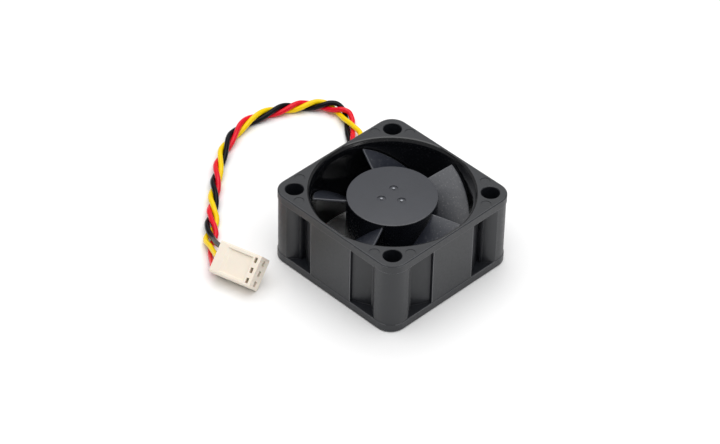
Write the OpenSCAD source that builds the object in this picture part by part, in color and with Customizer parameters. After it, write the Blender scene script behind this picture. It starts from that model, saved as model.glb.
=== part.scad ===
// Square axial cooling fan with a brushless motor, two ball bearings and a three-wire lead.
// Millimetres. The origin is the middle of the outlet face, and +Z points out of the inlet.

/* [Frame] */
// Side of the square frame
frame_w = 40; // [39:0.5:46]
// Height of the frame along the shaft
frame_h = 20; // [19.5:0.5:25]
// Thickness of each flange
flange_t = 2.2; // [1.8:0.1:2.6]
// Corner radius of the flanges
corner_r = 4.2; // [3.6:0.1:5]
// Chamfer along the outer edges of the flanges
edge_chamfer = 0.25; // [0.1:0.05:0.4]
// Chamfer along the inner edges of the flanges
inner_chamfer = 0.1; // [0.05:0.05:0.2]
// Distance of the mounting holes' centres from the sides of the frame
hole_edge = 4; // [3.8:0.1:4.5]
// Diameter of the mounting holes
hole_d = 4.3; // [3.5:0.1:4.5]
// Wall of the corner columns round the holes
column_wall = 2; // [1.6:0.1:2.2]
// Distance by which the side walls stand back from the flange edges
side_setback = 0.1; // [0.05:0.05:0.3]

/* [Air duct] */
// Thickness left between the duct and the middle of each side
duct_edge = 1.3; // [1.1:0.05:1.8]
// Wall of the duct between the columns and the side pads
duct_wall = 1.45; // [1.2:0.05:1.6]
// Width of the flat pad in the middle of each side
pad_w = 13; // [10:0.5:14]
// Distance of the flared mouth's circle from the sides, where the rim below cuts it off
mouth_edge = 0.25; // [0.05:0.05:0.8]
// Depth of the flared mouth
mouth_depth = 2.8; // [2:0.1:3.4]
// Rim left between the mouth and the middle of each side
mouth_rim = 0.75; // [0.6:0.05:0.9]
// Chamfer of the duct at the outlet face
outlet_chamfer = 0.3; // [0.1:0.1:0.5]

/* [Motor base] */
// Thickness of the base disc
base_t = 1.2; // [1:0.1:1.5]
// Height of the ledge that carries the circuit board
ledge_h = 1; // [0.8:0.1:1.3]
// Wall of the rim round the circuit board
rim_t = 1.2; // [0.9:0.1:1.4]
// Height of the rim above the underside of the board
rim_lip = 0.5; // [0.3:0.1:0.7]
// Width of the ledge under the board
ledge_w = 0.7; // [0.5:0.1:1]
// Wall of the boss that holds the bearing tube
boss_wall = 0.9; // [0.7:0.1:1.1]
// Height of the boss above the base disc
boss_h = 3; // [2.6:0.1:3.3]
// Thickness of the ledge under the bearing tube
tube_seat = 1; // [0.8:0.1:1.1]
// Width of a plain strut
strut_w = 1.6; // [1.2:0.1:2]
// Height of the struts
strut_h = 2.6; // [2.4:0.1:2.8]
// Direction of the strut that carries the wires, from +X
lead_angle = 152; // [146:1:154]

/* [Impeller] */
// Diameter of the hub
hub_d = 21.3; // [20.9:0.1:22.5]
// Wall of the hub
hub_wall = 0.85; // [0.7:0.05:1]
// Thickness of the top of the hub
hub_top_t = 1.3; // [1:0.1:1.5]
// Depth of the hub's top below the inlet face
hub_drop = 1.5; // [1:0.1:2]
// Rounding of the hub's top edge
hub_edge_r = 0.35; // [0.2:0.05:0.5]
// Number of blades
blade_count = 5; // [3:1:7]
// Gap between a blade tip and the duct
tip_gap = 0.4; // [0.3:0.05:0.6]
// Thickness of a blade
blade_t = 1.1; // [0.8:0.1:1.3]
// Arc that a blade covers
blade_arc = 58; // [50:1:60]
// Direction of the first blade's leading edge, from +X
blade_start = 15.5; // [0:0.5:71]
// Depth of a leading edge below the hub's top
blade_drop = 0.9; // [0.6:0.1:1.2]
// Height of a trailing edge above the struts
blade_clear = 2.2; // [1.9:0.1:2.8]
// Clearance between the hub and the rim of the base
hub_gap = 0.5; // [0.4:0.1:0.8]

/* [Rotor] */
// Wall of the steel yoke
yoke_t = 0.6; // [0.5:0.05:0.7]
// Height of the yoke's lower edge above the hub's
yoke_inset = 1.2; // [0.8:0.1:1.5]
// Radial thickness of the magnet ring
magnet_t = 1.3; // [1.1:0.1:1.5]
// Gap between the magnet ring and the yoke's roof
magnet_head = 2.6; // [2.2:0.1:3.4]
// Height of the magnet's lower edge above the board
magnet_rise = 2; // [1.7:0.1:2.2]
// Diameter of the shaft
shaft_d = 2; // [1.8:0.1:2.1]
// Length of the bush's shoulder under the yoke
bush_shoulder = 0.7; // [0.5:0.1:0.9]
// Radial width of the bush's shoulder
bush_step = 0.6; // [0.4:0.1:0.8]
// Wall of the bush round the shaft
bush_wall = 1.5; // [1.2:0.1:1.7]

/* [Bearings] */
// Outer diameter of a ball bearing
bearing_d = 5; // [4.8:0.1:5.4]
// Width of a ball bearing
bearing_w = 2.5; // [2.3:0.1:2.6]
// Diameter of a ball
ball_d = 0.8; // [0.7:0.05:0.8]
// Number of balls in a bearing
ball_count = 7; // [5:1:7]
// Radial play between the balls and their races
ball_play = 0.04; // [0.03:0.01:0.05]
// Wall of the bearing tube
tube_wall = 0.7; // [0.6:0.05:0.8]
// Height of the lower bearing above the tube's lower end
bearing_inset = 1; // [0.8:0.1:1.2]
// Radial step that stops the bearings inside the tube
tube_land = 0.35; // [0.25:0.05:0.4]
// Gap that the preload spring fills
spring_h = 1.2; // [1.1:0.1:1.3]
// Diameter of the spring's wire
spring_wire_d = 0.26; // [0.2:0.02:0.3]

/* [Stator] */
// Air gap between the stator and the magnet
air_gap = 0.35; // [0.25:0.05:0.45]
// Height of the yoke's roof above the lamination stack
stack_head = 5.1; // [4.9:0.1:5.6]
// Height of the stack's lower face above the board
stack_rise = 4; // [3.9:0.1:4.4]
// Width of a pole's neck
neck_w = 2.4; // [2:0.1:2.6]
// Radial thickness of a pole shoe
shoe_t = 0.8; // [0.6:0.1:0.9]
// Half of the arc that a pole shoe covers
shoe_half = 38; // [34:1:40]
// Thickness of an insulator plate
insulator_t = 0.5; // [0.4:0.1:0.6]
// Thickness of the copper winding
winding_t = 1.3; // [1:0.1:1.3]

/* [Circuit board] */
// Thickness of the board
board_t = 0.8; // [0.6:0.1:1]
// Side of the motor driver's package
chip_w = 3; // [2.6:0.1:3.2]
// Height of the motor driver's package
chip_h = 1; // [0.8:0.1:1.2]
// Diameter of the winding pins
pin_d = 0.5; // [0.4:0.05:0.6]

/* [Lead] */
// Diameter of one insulated wire
wire_d = 1.3; // [1.2:0.02:1.34]
// Gap between neighbouring wires in their channel
wire_gap = 0.1; // [0.06:0.01:0.14]
// Length of the connector housing
housing_l = 11; // [10.5:0.1:12]
// Pitch of the connector's contacts
contact_pitch = 2.54; // [2.5:0.01:2.6]
// Width of the housing beside its outer contacts
housing_side = 1.36; // [1.3:0.02:1.6]
// Thickness of the connector housing
housing_t = 5.2; // [5:0.1:5.8]

/* [Hidden] */

// One overrun for every cut, and the clearance of a loose fit
over = 1;
fit = 0.1;

// Facets of large, middling and small round shapes
fn_large = 128;
fn_middle = 64;
fn_small = 32;
// Sides of a swept wire, and steps in one turn of the spring
sweep_sides = 8;
spring_steps = 18;

// Colours
black_plastic = [0.16, 0.16, 0.17];
grey_plastic = [0.20, 0.20, 0.22];
bright_steel = [0.75, 0.76, 0.78];
dark_steel = [0.45, 0.46, 0.48];
copper = [0.72, 0.38, 0.20];
brass = [0.80, 0.64, 0.32];
green_board = [0.07, 0.30, 0.14];
ivory = [0.93, 0.88, 0.78];

// Radii of the frame
hole_r = hole_d / 2;
hole_pitch = frame_w - 2 * hole_edge;
column_r = hole_r + column_wall;
duct_r = frame_w / 2 - duct_edge;
duct_out_r = duct_r + duct_wall;
mouth_r = frame_w / 2 - mouth_edge;
wall_w = frame_w - 2 * side_setback;
mouth_steps = 6;
hole_chamfer = 0.15;
// Ribs on the columns, turned from the outward diagonal
rib_turn = 112;
column_rib_w = 0.5;
column_rib_h = 0.6;

// Ejector marks on the flanges
mark_d = 2.4;
mark_depth = 0.12;
mark_side = 2.1;
mark_along = 3.7;

// Shaft, bearings and tube
shaft_r = shaft_d / 2;
bearing_r = bearing_d / 2;
tube_r = bearing_r + tube_wall;
tube_z = tube_seat;
lower_bearing_z = tube_z + bearing_inset;
race_share = 0.5;
pitch_r = shaft_r + race_share * (bearing_r - shaft_r);
ball_r = ball_d / 2;
ring_lip = 0.1;
inner_race_r = pitch_r - ball_r + ring_lip;
outer_race_r = pitch_r + ball_r - ring_lip;
shield_t = 0.15;
shield_inset = 0.05;
shield_seat = 0.2;
cage_clear = 0.07;
cage_web = 0.25;

// Motor base and circuit board
boss_r = tube_r + boss_wall;
base_step = 0.05;
base_r = hub_d / 2 + base_step;
board_z = base_t + ledge_h;
board_top = board_z + board_t;
rim_z = board_z + rim_lip;
rim_in_r = base_r - rim_t;
board_r = rim_in_r - fit;
boss_top = base_t + boss_h;
cap_t = 0.7;

// Rotor
hub_r = hub_d / 2;
hub_edge_steps = 3;
hub_z = rim_z + hub_gap;
hub_top = frame_h - hub_drop;
yoke_r = hub_r - hub_wall;
yoke_z = hub_z + yoke_inset;
yoke_top = hub_top - hub_top_t;
yoke_roof = yoke_top - yoke_t;
magnet_r = yoke_r - yoke_t;
magnet_in_r = magnet_r - magnet_t;
magnet_z = board_top + magnet_rise;
magnet_h = yoke_roof - magnet_head - magnet_z;

// Stator
stack_z = board_top + stack_rise;
stack_top = yoke_roof - stack_head;
stack_h = stack_top - stack_z;
core_ring_t = 1.2;
core_ring_r = tube_r + core_ring_t;
core_r = magnet_in_r - air_gap;
shoe_r = core_r - shoe_t;
pole_count = 4;
insulator_edge = 0.15;
insulator_neck = neck_w + 2 * fit;
insulator_wall_t = 0.4;
// Arcs of an insulator's shoes and walls, as shares of a pole shoe's
insulator_shoe_share = 0.9;
insulator_wall_share = 0.64;
winding_fit = 0.03;
coil_w = insulator_neck + 2 * winding_t;
coil_gap = 0.3;
coil_x = core_ring_r + coil_gap;
coil_end = sqrt(shoe_r * shoe_r - coil_w * coil_w / 4) - winding_fit;
coil_corner_r = 0.8;

// Tube top and what the upper bearing carries
tube_rise = 1.5;
tube_top = stack_top + tube_rise;
tube_lip = 0.2;
upper_bearing_z = tube_top - tube_lip - bearing_w;
bush_z = upper_bearing_z + bearing_w + spring_h;
shaft_inset = 0.35;
shaft_z = tube_z + shaft_inset;
clip_t = 0.3;
clip_w = 0.55;
clip_groove = 0.2;
clip_slot = 0.9;
spring_turns = 2.6;
spring_r = pitch_r - ring_lip;
spring_play = 0.02;

// Struts and lead channel
strut_count = 4;
strut_top_share = 0.5;
strut_shoulder_share = 0.6;
strut_sink = 0.4;
wire_r = wire_d / 2;
wire_step = wire_d + wire_gap;
wire_lift = 0.35;
wire_count = 3;
// Distance from the axis to the place where the wires are clear of the frame
exit_r = frame_w / 2 / abs(cos(lead_angle)) + wire_lift;
wire_z = wire_lift + wire_r;
channel_w = wire_count * wire_step + wire_gap;
channel_wall = 0.6;
channel_top = wire_z + wire_r + fit;
hood_roof = 0.9;
pad_r = 7.4;
pad_d = 1.1;
pad_sink = 0.2;

// Small pieces on the board
pin_r = pin_d / 2;
pin_place_r = 5.6;
pin_out = 0.5;
pin_boss_w = 1.4;
pin_boss_h = 1.2;
pin_bite = 1;
pin_angles = [45, 135, 225];
chip_angle = 287;
chip_place_r = 6.9;
leg_w = 0.35;
leg_t = 0.18;
leg_out = 0.5;
leg_pitch = 0.95;
sensor_angle = 197;
sensor_place_r = 8.1;
sensor_size = [1.1, 2.1, 1.1];
part_size = [1.0, 1.6, 0.6];
part_angles = [20, 75, 107, 240, 325];
part_place_r = 7.1;

// Blades
blade_rows = 5;
blade_cols = 12;
root_sink = 0.35;
blade_tip_r = duct_r - tip_gap;
blade_top = hub_top - blade_drop;
blade_low = strut_h + blade_clear;
// Share of the drop that is straight; the rest steepens towards the trailing edge
blade_camber_share = 0.72;
// Thickness at the edges, as a share of the blade's
blade_edge_share = 0.4;
blade_full_share = 0.3;
// How far the tip lags the root, and how much less deep the root is
blade_lag = 2;
blade_root_rise = 0.5;
blade_tip_rise = 0.3;

// Gate marks on the hub
gate_count = 3;
gate_place_r = 2.7;
gate_d = 2;
gate_depth = 0.18;
gate_nib_d = 0.6;
gate_turn = 8;

// Connector
contact_count = wire_count;
housing_w = (contact_count - 1) * contact_pitch + 2 * housing_side;
housing_at = [-23, -34.3, 0];
housing_turn = 15;
housing_tilt = 41;
cavity_w = 2;
cavity_h = 2.6;
mating_w = 1.3;
mating_wall = 0.9;
window_l = 0.66;
window_w = 1.27;
window_back = 1.1;
panel_start = 2.2;
panel_ramp = 0.9;
panel_depth = 0.45;
panel_end = 2;
rib_w = 0.95;
housing_chamfer = 0.3;
terminal_t = 0.25;
terminal_l = 5.4;
barrel_l = 2;
barrel_x = 0.9;
barrel_wall = 0.22;
barrel_play = 0.02;
strip_w = 1;

// Route of the lead outside the frame, along the middle of the three wires
lead_route = [
    [-24, 12.7, 1.05], [-28, 15, 1.1], [-32, 18, 1.1], [-36, 22, 1.1], [-39.7, 26, 1.1],
    [-43.5, 28.8, 1.1], [-47.5, 28.6, 1.1], [-51, 25.8, 1.1], [-53.8, 22, 1.1], [-56, 17.8, 1.1],
    [-57.6, 13, 1.1], [-58.1, 8, 1.1], [-56.8, 2.6, 1.1], [-54.4, -2.6, 1.1], [-51.3, -7.2, 1.1],
    [-47.6, -11.6, 1.1], [-43.7, -16, 1.1], [-39.7, -20.2, 1.1], [-35.6, -24, 1.1], [-31.6, -27.6, 1.4]
];
// Place of each wire across the lead and above its middle
red_place = [0.7, -0.4];
black_place = [0, 0.8];
yellow_place = [-0.7, -0.4];

// Slab with rounded corners and a chamfer along its lower and upper edges
module slab(w, r, z0, z1, low_chamfer, high_chamfer) {
    half = w / 2;
    for (sx = [-1, 1], sy = [-1, 1])
        translate([sx * (half - r), sy * (half - r), 0])
            rotate_extrude($fn = fn_middle)
                polygon([
                    [0, z0], [r - low_chamfer, z0], [r, z0 + low_chamfer],
                    [r, z1 - high_chamfer], [r - high_chamfer, z1], [0, z1]
                ]);
    for (a = [0, 90])
        rotate([0, 0, a])
            translate([0, half - r, 0])
                rotate([90, 0, 0])
                    linear_extrude(w - 2 * r)
                        polygon([
                            [-half + low_chamfer, z0], [half - low_chamfer, z0], [half, z0 + low_chamfer],
                            [half, z1 - high_chamfer], [half - high_chamfer, z1],
                            [-half + high_chamfer, z1], [-half, z1 - high_chamfer], [-half, z0 + low_chamfer]
                        ]);
}

// Places its children at the four mounting holes
module at_corners() {
    for (sx = [-1, 1], sy = [-1, 1])
        translate([sx * hole_pitch / 2, sy * hole_pitch / 2, 0])
            children();
}

// Ring with a rectangular section
module ring(r_out, r_in, z0, z1, facets = fn_middle) {
    translate([0, 0, z0])
        difference() {
            cylinder(r = r_out, h = z1 - z0, $fn = facets);
            translate([0, 0, -over])
                cylinder(r = r_in, h = z1 - z0 + 2 * over, $fn = facets);
        }
}

// Sector of a ring, centred on +X
module sector(r_out, r_in, half_arc, z0, z1) {
    rotate_extrude(angle = 2 * half_arc, start = -half_arc, $fn = fn_large)
        polygon([[r_in, z0], [r_out, z0], [r_out, z1], [r_in, z1]]);
}

// Void that flares from the duct to the inlet face, with flats along the four sides
module mouth_void() {
    low = frame_h - mouth_depth;
    flare = mouth_r - duct_r;
    curve = [for (i = [0 : mouth_steps])
        let (a = 90 * i / mouth_steps)
            [duct_r + flare * (1 - cos(a)), low + mouth_depth * sin(a)]];
    intersection() {
        rotate_extrude($fn = fn_large)
            polygon(concat(
                [[0, low - over], [duct_r, low - over]],
                curve,
                [[mouth_r, frame_h + over], [0, frame_h + over]]
            ));
        translate([-frame_w / 2 + mouth_rim, -frame_w / 2 + mouth_rim, low - 2 * over])
            cube([frame_w - 2 * mouth_rim, frame_w - 2 * mouth_rim, mouth_depth + 4 * over]);
    }
}

// Corner column with a rib towards each of its two side pockets
module column() {
    cylinder(r = column_r, h = frame_h - flange_t, $fn = fn_middle);
    for (a = [-rib_turn, rib_turn])
        rotate([0, 0, a])
            translate([0, -column_rib_w / 2, 0])
                cube([column_r + column_rib_h, column_rib_w, frame_h - flange_t]);
}

// Duct wall, side pads and corner columns between the flanges, cut back to the side faces
module frame_walls() {
    intersection() {
        translate([0, 0, flange_t / 2])
            union() {
                cylinder(r = duct_out_r, h = frame_h - flange_t, $fn = fn_large);
                for (a = [0, 90])
                    rotate([0, 0, a])
                        translate([-pad_w / 2, -wall_w / 2, 0])
                            cube([pad_w, wall_w, frame_h - flange_t]);
                for (a = [45 : 90 : 315])
                    rotate([0, 0, a])
                        translate([hole_pitch / sqrt(2), 0, 0])
                            column();
            }
        slab(wall_w, corner_r, edge_chamfer, frame_h - edge_chamfer, inner_chamfer, inner_chamfer);
    }
}

// Shallow round marks that the ejector pins leave beside each hole
module ejector_marks() {
    for (q = [0 : 3], m = [[-mark_along, mark_side], [mark_side, -mark_along]])
        rotate([0, 0, 90 * q])
            translate([hole_pitch / 2 + m[0], hole_pitch / 2 + m[1], frame_h - mark_depth])
                cylinder(d = mark_d, h = mark_depth + over, $fn = fn_small);
}

// Outer shell of the frame with its duct and holes
module frame_shell() {
    difference() {
        union() {
            slab(frame_w, corner_r, 0, flange_t, edge_chamfer, inner_chamfer);
            slab(frame_w, corner_r, frame_h - flange_t, frame_h, inner_chamfer, edge_chamfer);
            frame_walls();
        }
        translate([0, 0, -over])
            cylinder(r = duct_r, h = frame_h, $fn = fn_large);
        mouth_void();
        rotate_extrude($fn = fn_large)
            polygon([
                [0, -over], [duct_r + outlet_chamfer + over, -over],
                [duct_r, outlet_chamfer], [0, outlet_chamfer]
            ]);
        at_corners()
            rotate_extrude($fn = fn_small)
                polygon([
                    [0, -over], [hole_r + hole_chamfer + over, -over], [hole_r, hole_chamfer],
                    [hole_r, frame_h - hole_chamfer], [hole_r + hole_chamfer + over, frame_h + over],
                    [0, frame_h + over]
                ]);
        ejector_marks();
    }
}

// Motor base: disc, board ledge, rim and the boss for the bearing tube
module motor_base() {
    rotate_extrude($fn = fn_large)
        polygon([
            [bearing_r, 0], [base_r - edge_chamfer, 0], [base_r, edge_chamfer],
            [base_r, rim_z], [rim_in_r, rim_z], [rim_in_r, board_z],
            [rim_in_r - ledge_w, board_z], [rim_in_r - ledge_w, base_t],
            [boss_r, base_t], [boss_r, boss_top], [tube_r, boss_top],
            [tube_r, tube_z], [bearing_r, tube_z]
        ]);
}

// Strut from the base to the duct wall, with a narrower top
module strut(w) {
    start = base_r - strut_sink;
    rotate([90, 0, 90])
        translate([0, 0, start])
            linear_extrude(duct_r + strut_sink - start)
                polygon([
                    [-w / 2, 0], [w / 2, 0], [w / 2, strut_h * strut_shoulder_share],
                    [w / 2 - strut_w * (1 - strut_top_share) / 2, strut_h],
                    [-w / 2 + strut_w * (1 - strut_top_share) / 2, strut_h],
                    [-w / 2, strut_h * strut_shoulder_share]
                ]);
}

// Raised roof over the channel, where the wires leave through the flange
module lead_hood() {
    intersection() {
        rotate([0, 0, lead_angle])
            translate([duct_r + strut_sink, -channel_w / 2 - channel_wall, flange_t / 2])
                cube([frame_w, channel_w + 2 * channel_wall, channel_top + hood_roof - flange_t / 2]);
        translate([-wall_w / 2, -wall_w / 2, 0])
            cube([wall_w, wall_w, frame_h]);
    }
}

// Channel that the three wires lie in, open towards the outlet
module lead_channel() {
    rotate([0, 0, lead_angle])
        translate([pad_r - pad_d, -channel_w / 2, -over])
            cube([frame_w, channel_w, channel_top + over]);
}

module frame() {
    color(black_plastic)
        difference() {
            union() {
                frame_shell();
                motor_base();
                for (i = [1 : strut_count - 1])
                    rotate([0, 0, lead_angle + 360 * i / strut_count])
                        strut(strut_w);
                rotate([0, 0, lead_angle])
                    strut(channel_w + 2 * channel_wall);
                lead_hood();
            }
            lead_channel();
        }
}

module dust_cap() {
    color(grey_plastic)
        translate([0, 0, tube_z - cap_t])
            cylinder(r = bearing_r, h = cap_t, $fn = fn_middle);
}

// Tube with a seat for a bearing at each end
module bearing_tube() {
    color(brass)
        rotate_extrude($fn = fn_middle)
            polygon([
                [bearing_r, tube_z], [tube_r, tube_z], [tube_r, tube_top], [bearing_r, tube_top],
                [bearing_r, upper_bearing_z], [bearing_r - tube_land, upper_bearing_z],
                [bearing_r - tube_land, lower_bearing_z + bearing_w],
                [bearing_r, lower_bearing_z + bearing_w]
            ]);
}

// Round groove that the balls run in
module race_groove() {
    rotate_extrude($fn = fn_middle)
        translate([pitch_r, 0])
            circle(r = ball_r + ball_play, $fn = fn_small);
}

// Outer ring of a bearing whose lower face is at height z
module outer_ring(z) {
    half = bearing_w / 2;
    seat = shield_t + shield_inset;
    color(bright_steel)
        translate([0, 0, z + half])
            difference() {
                rotate_extrude($fn = fn_middle)
                    polygon([
                        [outer_race_r + shield_seat, -half], [bearing_r, -half], [bearing_r, half],
                        [outer_race_r + shield_seat, half], [outer_race_r + shield_seat, half - seat],
                        [outer_race_r, half - seat], [outer_race_r, -half + seat],
                        [outer_race_r + shield_seat, -half + seat]
                    ]);
                race_groove();
            }
}

// Two thin shields that close a bearing
module shields(z) {
    color(dark_steel)
        for (low = [z + shield_inset, z + bearing_w - shield_inset - shield_t])
            ring(outer_race_r + shield_seat, inner_race_r + fit, low, low + shield_t);
}

module inner_ring(z) {
    half = bearing_w / 2;
    color(bright_steel)
        translate([0, 0, z + half])
            difference() {
                ring(inner_race_r, shaft_r, -half, half);
                race_groove();
            }
}

// Places its children at each ball of a bearing whose lower face is at height z
module at_balls(z) {
    for (i = [0 : ball_count - 1])
        rotate([0, 0, 360 * i / ball_count])
            translate([pitch_r, 0, z + bearing_w / 2])
                children();
}

module balls(z) {
    color(bright_steel)
        at_balls(z)
            sphere(r = ball_r, $fn = fn_small);
}

// Cage that keeps the balls apart
module cage(z) {
    half = ball_r + cage_web;
    mid = z + bearing_w / 2;
    color(brass)
        difference() {
            ring(outer_race_r - cage_clear, inner_race_r + cage_clear, mid - half, mid + half);
            at_balls(z)
                sphere(r = ball_r + ball_play, $fn = fn_small);
        }
}

// Plan of one stator part between two heights: hub ring, necks and shoes
module stator_plan(z0, z1, ring_r, neck, shoe_out, half_arc) {
    difference() {
        union() {
            translate([0, 0, z0])
                cylinder(r = ring_r, h = z1 - z0, $fn = fn_middle);
            for (i = [0 : pole_count - 1])
                rotate([0, 0, 360 * i / pole_count]) {
                    translate([0, -neck / 2, z0])
                        cube([shoe_r + shoe_t / 2, neck, z1 - z0]);
                    sector(shoe_out, shoe_r, half_arc, z0, z1);
                }
        }
        translate([0, 0, z0 - over])
            cylinder(r = tube_r, h = z1 - z0 + 2 * over, $fn = fn_middle);
    }
}

module stator_core() {
    color(dark_steel)
        stator_plan(stack_z, stack_top, core_ring_r, neck_w, core_r, shoe_half);
}

// Walls on an insulator that keep the wire on its pole
module insulator_walls(z0, z1) {
    for (i = [0 : pole_count - 1])
        rotate([0, 0, 360 * i / pole_count])
            sector(shoe_r + insulator_wall_t, shoe_r, shoe_half * insulator_wall_share, z0, z1);
}

module upper_insulator() {
    plate_top = stack_top + insulator_t;
    color(ivory) {
        stator_plan(stack_top, plate_top, core_ring_r, insulator_neck,
            core_r - insulator_edge, shoe_half * insulator_shoe_share);
        insulator_walls(plate_top - insulator_t / 2, plate_top + winding_t);
    }
}

// Arm that holds one winding pin between two poles
module pin_arm() {
    plate_low = stack_z - insulator_t;
    difference() {
        translate([tube_r + fit, -pin_boss_w / 2, plate_low - pin_boss_h])
            cube([pin_place_r + pin_boss_w / 2 - tube_r - fit, pin_boss_w, pin_boss_h + insulator_t]);
        translate([pin_place_r, 0, plate_low - pin_boss_h - over])
            cylinder(r = pin_r, h = pin_bite + over, $fn = fn_small);
    }
}

module lower_insulator() {
    plate_low = stack_z - insulator_t;
    color(ivory) {
        stator_plan(plate_low, stack_z, core_ring_r, insulator_neck,
            core_r - insulator_edge, shoe_half * insulator_shoe_share);
        insulator_walls(plate_low - winding_t, plate_low + insulator_t / 2);
        ring(boss_r, tube_r, boss_top, plate_low + insulator_t / 2);
        for (a = pin_angles)
            rotate([0, 0, a])
                pin_arm();
    }
}

// Coil wound round one pole, as a rounded block with a hole for the neck
module coil() {
    low = stack_z - insulator_t;
    tall = stack_h + 2 * insulator_t;
    long = coil_end - coil_x;
    r = coil_corner_r;
    w = coil_w;
    h = tall + 2 * winding_t;
    translate([coil_x, 0, low - winding_t])
        difference() {
            union() {
                translate([0, -w / 2 + r, 0])
                    cube([long, w - 2 * r, h]);
                translate([0, -w / 2, r])
                    cube([long, w, h - 2 * r]);
                for (sy = [-1, 1], z = [r, h - r])
                    translate([0, sy * (w / 2 - r), z])
                        rotate([0, 90, 0])
                            cylinder(r = r, h = long, $fn = fn_small);
            }
            translate([-over, -insulator_neck / 2, winding_t])
                cube([long + 2 * over, insulator_neck, tall]);
        }
}

module stator_coils() {
    color(copper)
        for (i = [0 : pole_count - 1])
            rotate([0, 0, 360 * i / pole_count])
                coil();
}

module winding_pins() {
    top = stack_z - insulator_t - pin_boss_h + pin_bite;
    color(brass)
        for (a = pin_angles)
            rotate([0, 0, a])
                translate([pin_place_r, 0, board_z - pin_out])
                    cylinder(r = pin_r, h = top - board_z + pin_out, $fn = fn_small);
}

module circuit_board() {
    color(green_board)
        difference() {
            ring(board_r, boss_r + fit, board_z, board_top);
            for (a = pin_angles)
                rotate([0, 0, a])
                    translate([pin_place_r, 0, board_z - over])
                        cylinder(r = pin_r + fit / 2, h = board_t + 2 * over, $fn = fn_small);
        }
}

// Places its children on the board, facing outwards
module on_board(angle, r) {
    rotate([0, 0, angle])
        translate([r, 0, board_top])
            children();
}

// Box that stands on the board, centred on its place
module board_box(size) {
    translate([-size[0] / 2, -size[1] / 2, 0])
        cube(size);
}

module hall_sensor() {
    color(black_plastic)
        on_board(sensor_angle, sensor_place_r)
            board_box(sensor_size);
}

module driver_chip() {
    color(black_plastic)
        on_board(chip_angle, chip_place_r) {
            translate([0, 0, leg_t])
                board_box([chip_w, chip_w, chip_h - leg_t]);
            for (i = [-1 : 1])
                translate([0, i * leg_pitch, 0])
                    board_box([chip_w + 2 * leg_out, leg_w, 2 * leg_t]);
        }
}

module board_components() {
    color(brass)
        for (a = part_angles)
            on_board(a, part_place_r)
                board_box(part_size);
}

// Sideways place of a wire in its channel: index -1, 0 or 1
function across(i) = i * wire_step;

// Solder under the board, where the three wires end
module solder_joints() {
    color(bright_steel)
        for (i = [-1 : 1])
            rotate([0, 0, lead_angle])
                translate([pad_r - pad_d / 2 + pad_sink, across(i), wire_lift])
                    cylinder(r1 = pad_d / 2 - pad_sink / 2, r2 = pad_d / 2, h = board_z - wire_lift,
                        $fn = fn_small);
}

// Drop of the blade below its leading edge, as a share, at the share s of its chord
function drop_share(s) = blade_camber_share * s + (1 - blade_camber_share) * s * s;
function slope_share(s) = blade_camber_share + 2 * (1 - blade_camber_share) * s;
function thick_share(s) =
    s < blade_full_share ? blade_edge_share + (1 - blade_edge_share) * sin(90 * s / blade_full_share)
    : 1 - (1 - blade_edge_share) * pow((s - blade_full_share) / (1 - blade_full_share), 2);

// Point on one side of a blade: q is the share of the span, s of the chord, side is 1 or -1
function blade_point(q, s, side) =
    let (
        r = hub_r - root_sink + q * (blade_tip_r - hub_r + root_sink),
        top = blade_top - (1 - q) * blade_root_rise,
        low = blade_low + q * blade_tip_rise,
        deep = top - low,
        run = r * blade_arc * PI / 180,
        slope = atan(deep * slope_share(s) / run),
        half = side * blade_t * thick_share(s) / 2,
        a = -blade_lag * q - blade_arc * s - half * sin(slope) / r * 180 / PI
    )
    [r * cos(a), r * sin(a), top - deep * drop_share(s) + half * cos(slope)];

// One blade: upper side, lower side, root, tip and the two edges
module blade() {
    rows = blade_rows;
    cols = blade_cols;
    side_points = (rows + 1) * (cols + 1);
    points = [for (side = [1, -1], j = [0 : rows], i = [0 : cols]) blade_point(j / rows, i / cols, side)];
    function up(j, i) = j * (cols + 1) + i;
    function dn(j, i) = side_points + j * (cols + 1) + i;
    upper = [for (j = [0 : rows - 1], i = [0 : cols - 1]) each
        [[up(j, i), up(j + 1, i), up(j + 1, i + 1)], [up(j, i), up(j + 1, i + 1), up(j, i + 1)]]];
    lower = [for (j = [0 : rows - 1], i = [0 : cols - 1]) each
        [[dn(j, i), dn(j + 1, i + 1), dn(j + 1, i)], [dn(j, i), dn(j, i + 1), dn(j + 1, i + 1)]]];
    ends = [for (i = [0 : cols - 1]) each [
        [up(0, i), up(0, i + 1), dn(0, i + 1)], [up(0, i), dn(0, i + 1), dn(0, i)],
        [up(rows, i), dn(rows, i + 1), up(rows, i + 1)], [up(rows, i), dn(rows, i), dn(rows, i + 1)]]];
    edges = [for (j = [0 : rows - 1]) each [
        [up(j, 0), dn(j + 1, 0), up(j + 1, 0)], [up(j, 0), dn(j, 0), dn(j + 1, 0)],
        [up(j, cols), up(j + 1, cols), dn(j + 1, cols)], [up(j, cols), dn(j + 1, cols), dn(j, cols)]]];
    polyhedron(points = points, faces = concat(upper, lower, ends, edges), convexity = 6);
}

// Hub of the impeller, a cup with a rounded top edge
module hub() {
    curve = [for (i = [0 : hub_edge_steps])
        let (a = 90 * i / hub_edge_steps)
            [hub_r - hub_edge_r * (1 - cos(a)), hub_top - hub_edge_r * (1 - sin(a))]];
    rotate_extrude($fn = fn_large)
        polygon(concat(
            [[yoke_r, hub_z], [hub_r, hub_z]],
            curve,
            [[0, hub_top], [0, yoke_top], [yoke_r, yoke_top]]
        ));
}

// Round marks that the moulding gates leave on the hub
module gate_marks() {
    for (i = [0 : gate_count - 1])
        rotate([0, 0, gate_turn + 360 * i / gate_count])
            translate([gate_place_r, 0, hub_top - gate_depth])
                difference() {
                    cylinder(d = gate_d, h = gate_depth + over, $fn = fn_small);
                    translate([0, 0, -over])
                        cylinder(d = gate_nib_d, h = gate_depth + over, $fn = fn_small);
                }
}

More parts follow.
